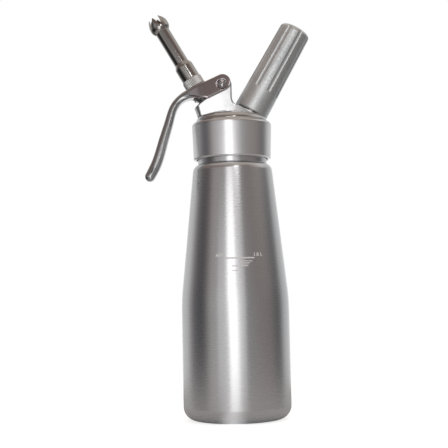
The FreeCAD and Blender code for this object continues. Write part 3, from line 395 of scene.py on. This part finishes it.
def metal(name, colour, shade, rough, grain, turn=0.0, bump=0.0, anisotropic=0.0, satin_below=None,
          tilt=0.0, wave=0.0, painted_shade_reach=0.0, rounding=0.0, other=None):
    """Worked metal. rough is (low, high); grain is the scratch pattern's scale along X, Y and Z in
    1/m before it leans by turn; shade is the colour that the first one drifts to. satin_below is a
    height under which the metal is SATIN times as rough, tilt leans upright faces up, as the draft
    of a casting does, and wave is the depth of its unevenness in metres. crevice is how near a
    neighbour has to be for painted shade to darken the metal's colour there, in its corners and
    joints, and rounding is the radius in metres by which its edges look softened. other is (axis,
    place, colour): the colour that the metal turns to beyond that place along the axis."""
    made, tree, place = new_material(name)
    axes = add(tree, "ShaderNodeSeparateXYZ", {0: place}).outputs
    lean = add(tree, "ShaderNodeVectorRotate", {"Vector": place, "Angle": turn},
               rotation_type="Y_AXIS").outputs[0]
    scratch = add(tree, "ShaderNodeMapping", {"Vector": lean, "Scale": grain}).outputs[0]
    lines = add(tree, "ShaderNodeTexNoise", {"Vector": scratch, **SCRATCH_NOISE}).outputs["Fac"]
    tone = drifting_colour(tree, place, lines, colour, shade)
    if other:
        axis, edge, beyond = other
        share = spread(tree, axes[axis], edge - OTHER_FADE, edge + OTHER_FADE, smooth=True)
        tone = mix_colour(tree, share, tone, rgba(beyond))
    # Painted shade: the colour darkens where another surface is near, in corners and joints.
    if painted_shade_reach:
        open_share = add(tree, "ShaderNodeAmbientOcclusion", {"Distance": painted_shade_reach},
                         samples=EDGE_SAMPLES).outputs["AO"]
        tone = scale_colour(tree, tone, spread(tree, open_share, *PAINTED_SHADE_OPEN, PAINTED_CORNER_SHADE, 1.0))
    dull = spread(tree, lines, *SCRATCHED, *rough)
    if satin_below is not None:
        satin = spread(tree, axes["Z"], satin_below - MM, satin_below + MM, SATIN, 1.0)
        dull = maths(tree, "MULTIPLY", dull, satin)
    normal = None
    if rounding:
        normal = rounded_normal(tree, axes["X"], rounding)
    if tilt:
        normal = tilted_normal(tree, normal, tilt)
    if wave:
        swell = add(tree, "ShaderNodeTexNoise", {"Vector": place, **SWELL_NOISE}).outputs["Fac"]
        normal = relief(tree, swell, 1.0, wave, normal)
    if bump:
        normal = relief(tree, lines, bump, RELIEF, normal)
    shader = add(tree, "ShaderNodeBsdfPrincipled", {
        "Base Color": tone, "Metallic": 1.0, "Roughness": dull, "Anisotropic": anisotropic,
    })
    if normal:
        tree.links.new(normal, shader.inputs["Normal"])
    if anisotropic:
        shader.inputs["Anisotropic Rotation"].default_value = QUARTER_TURN
        round_z = add(tree, "ShaderNodeTangent", direction_type="RADIAL", axis="Z")
        tree.links.new(round_z.outputs[0], shader.inputs["Tangent"])
    add(tree, "ShaderNodeOutputMaterial", {"Surface": shader.outputs[0]})
    return made


def soft_material(name, colour, shade, rough):
    """Rubber, silicone or paint with a fine grit."""
    made, tree, place = new_material(name)
    grit = add(tree, "ShaderNodeTexNoise", {"Vector": place, **GRIT_NOISE}).outputs["Fac"]
    tone = mix_colour(tree, grit, rgba(colour), rgba(shade))
    shader = add(tree, "ShaderNodeBsdfPrincipled", {
        "Base Color": tone, "Roughness": rough,
        "Normal": relief(tree, grit, GRIT_BUMP, RELIEF, None),
    })
    add(tree, "ShaderNodeOutputMaterial", {"Surface": shader.outputs[0]})
    return made


def dress(material, *names):
    """Put one material on whole CAD nodes."""
    for name in names:
        slots = NODES[name].material_slots
        if not slots:
            NODES[name].data.materials.append(material)
        for slot in slots:
            slot.material = material


def dress_all():
    """Dress every CAD node; the spring's wire is handed back for the scene's own spring."""
    turned = (25, 25, 2600)
    bottle = metal("brushed_bottle", (0.745, 0.75, 0.765), (0.738, 0.743, 0.758), (0.27, 0.276),
                   turned, bump=0.001, anisotropic=0.6)
    head = metal("polished_head", (0.98, 0.98, 0.99), (0.94, 0.94, 0.95), (0.13, 0.145), turned,
                 bump=0.01, satin_below=SKIRT_TOP, other=("Z", SKIRT_TOP, (0.66, 0.65, 0.645)))
    # The bracket gets painted shade where it meets the dome and under the lever.
    bracket = metal("polished_bracket", (0.67, 0.67, 0.675), (0.64, 0.64, 0.65), (0.13, 0.17),
                    (300, 300, 300), wave=0.00006, painted_shade_reach=0.002, rounding=0.002,
                    tilt=math.radians(-3))
    holder = metal("satin_holder", (0.97, 1.0, 1.0), (0.68, 0.71, 0.73), (0.43, 0.50),
                   (700, 700, 700), turn=-LEAN, bump=0.8)
    tip = metal("chrome_tip", (0.52, 0.50, 0.48), (0.49, 0.47, 0.45), (0.12, 0.16), (200, 200, 200))
    grip = metal("knurled_grip", (0.97, 0.97, 0.96), (0.88, 0.88, 0.87), (0.48, 0.56),
                 (1500, 1500, 1500), bump=0.08)
    # Beyond the lever's bend the fork's cheeks turn mauve: a painted reflection of the tint they
    # mirror.
    lever = metal("polished_lever", (0.52, 0.53, 0.535), (0.49, 0.50, 0.505), (0.125, 0.14),
                  (60, 60, 60), satin_below=HANDLE_TOP, tilt=math.radians(5), rounding=0.0016,
                  other=("X", LEVER_BEND, (0.52, 0.47, 0.475)))
    steel = metal("bright_steel", (0.66, 0.66, 0.67), (0.60, 0.60, 0.61), (0.18, 0.28), turned)
    wire = metal("spring_wire", (0.55, 0.55, 0.57), (0.48, 0.48, 0.50), (0.25, 0.35),
                 (300, 300, 300))
    dark = metal("dark_clip", (0.17, 0.15, 0.15), (0.14, 0.12, 0.12), (0.30, 0.38), (300, 300, 300))
    zinc = metal("zinc_charger", (0.62, 0.62, 0.62), (0.55, 0.55, 0.56), (0.3, 0.4), (60, 60, 60))
    brass = metal("turned_brass", (0.72, 0.55, 0.28), (0.65, 0.48, 0.22), (0.22, 0.32), turned)
    black = soft_material("black_rubber", (0.025, 0.025, 0.027), (0.04, 0.04, 0.043), 0.62)
    pale = soft_material("pale_silicone", (0.62, 0.62, 0.60), (0.70, 0.70, 0.68), 0.5)
    dress(bottle, "bottle")
    dress(head, "head")
    dress(bracket, "lever_bracket")
    dress(holder, "charger_holder")
    dress(tip, "decorating_tip")
    dress(grip, "grip_collar")
    dress(lever, "lever")
    dress(steel, "valve_stem", "valve_washer", "lever_pin")
    dress(dark, "pin_clips")
    dress(wire, "valve_spring")
    dress(zinc, "gas_charger")
    dress(brass, "valve_nut", "piercing_pin", "inlet_body")
    dress(black, "stem_o_ring", "valve_seal", "inlet_valve_rubber", "charger_gasket")
    dress(pale, "head_gasket", "tip_seal", "inlet_washer")
    return wire


# ------------------------------------------------------------------ fill marks and valve spring
def cone_point(angle, height):
    """Point just proud of the bottle's taper, at an angle in degrees to the camera's right."""
    radius = CONE_RADIUS + (CONE_TOP - height) * CONE_SLOPE + PRINT_PROUD * MM
    turn = math.radians(angle)
    return (radius * math.sin(turn), -radius * math.cos(turn), height)


def new_piece(name, points, faces, material, body):
    """A piece of the scene's own that rides on a body."""
    mesh = bpy.data.meshes.new(name)
    mesh.from_pydata(points, [], faces)
    mesh.materials.append(material)
    mesh.update()
    piece = bpy.data.objects.new(name, mesh)
    SCENE.collection.objects.link(piece)
    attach(piece, body)
    return piece


def fill_line(name, start, end, height, thickness, material):
    """A printed line round the taper, with rounded ends."""
    points, faces = [], []
    steps = max(LINE_STEPS_LEAST, int(LINE_STEPS * (end - start)))
    for step in range(steps + 1):
        angle = start + (end - start) * step / steps
        from_end = min(step, steps - step) * (end - start) / steps * PRINT_END_SLOPE * MM
        half = 0.5 * thickness
        inset = max(0.0, half - from_end)
        half = math.sqrt(max(PRINT_END_LEAST * half ** 2, half ** 2 - inset ** 2))
        points += [cone_point(angle, height - half), cone_point(angle, height + half)]
        if step:
            last = 2 * step
            faces.append((last - 2, last, last + 1, last - 1))
    return new_piece(name, points, faces, material, "bottle")


def fill_word(name, text, start, end, low, high, material):
    """A word fitted between two angles and two heights and wrapped round the taper."""
    curve = bpy.data.curves.new(name, "FONT")
    curve.body = text
    curve.resolution_u = LETTER_STEPS
    curve.offset = LETTER_WEIGHT
    lettering = bpy.data.objects.new(name, curve)
    SCENE.collection.objects.link(lettering)
    bpy.context.view_layer.update()
    ready = lettering.evaluated_get(bpy.context.evaluated_depsgraph_get())
    flat = bpy.data.meshes.new_from_object(ready)
    bpy.data.objects.remove(lettering)
    spots = [(v.co.x, v.co.y) for v in flat.vertices]
    left, right = min(x for x, y in spots), max(x for x, y in spots)
    foot, top = min(y for x, y in spots), max(y for x, y in spots)
    points = []
    for x, y in spots:
        angle = start + (end - start) * (x - left) / (right - left)
        points.append(cone_point(angle, low + (high - low) * (y - foot) / (top - foot)))
    faces = [tuple(face.vertices) for face in flat.polygons]
    return new_piece(name, points, faces, material, "bottle")


def make_fill_marks():
    paint = soft_material("white_print", (0.99, 0.99, 0.985), (0.95, 0.95, 0.945), 0.4)
    for index, (start, end, height, thickness) in enumerate(FILL_LINES):
        fill_line("fill_line_%d" % (index + 1), start, end, height * MM, thickness * MM, paint)
    for name, text, start, end, low, high in FILL_WORDS:
        fill_word(name, text, start, end, low * MM, high * MM, paint)


def valve_place(across, side, along):
    """Point in the row frame: across the valve's axis in the lever's plane, beside it, along it."""
    x = -along * math.sin(LEAN) + across * math.cos(LEAN)
    z = along * math.cos(LEAN) + across * math.sin(LEAN)
    return Vector((x, side, CROSS_HEIGHT + z))


def make_spring(wire):
    """Valve spring with closed, flattened end turns."""
    points, faces = [], []
    steps = SPRING_TURNS * SPRING_STEPS
    low, high = SPRING_LOW + SPRING_WIRE, SPRING_HIGH - SPRING_WIRE
    for step in range(steps + 1):
        share = step / steps
        turn = 2 * math.pi * SPRING_TURNS * share
        rise = (share * SPRING_TURNS - SPRING_CLOSED) / (SPRING_TURNS - 2 * SPRING_CLOSED)
        middle = low + (high - low) * min(1.0, max(0.0, rise))
        for around in range(SPRING_SIDES):
            lift = 2 * math.pi * around / SPRING_SIDES
            radius = SPRING_RADIUS + SPRING_WIRE * math.cos(lift)
            along = middle + SPRING_WIRE * math.sin(lift)
            points.append(valve_place(radius * math.cos(turn), radius * math.sin(turn), along))
        if step:
            here = step * SPRING_SIDES
            for around in range(SPRING_SIDES):
                after = (around + 1) % SPRING_SIDES
                faces.append((here + around, here + after, here + after - SPRING_SIDES,
                              here + around - SPRING_SIDES))
    faces.append(tuple(range(SPRING_SIDES - 1, -1, -1)))
    faces.append(tuple(range(steps * SPRING_SIDES, (steps + 1) * SPRING_SIDES)))
    spring = new_piece("valve_spring_coil", points, faces, wire, "head")
    for face in spring.data.polygons:
        face.use_smooth = len(face.vertices) == 4
    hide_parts("valve_spring")
    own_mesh(spring)


SCENE.view_settings.view_transform = "Standard"
make_camera()
make_world()
make_panels()
make_floor()
spring_wire = dress_all()
make_fill_marks()
make_spring(spring_wire)
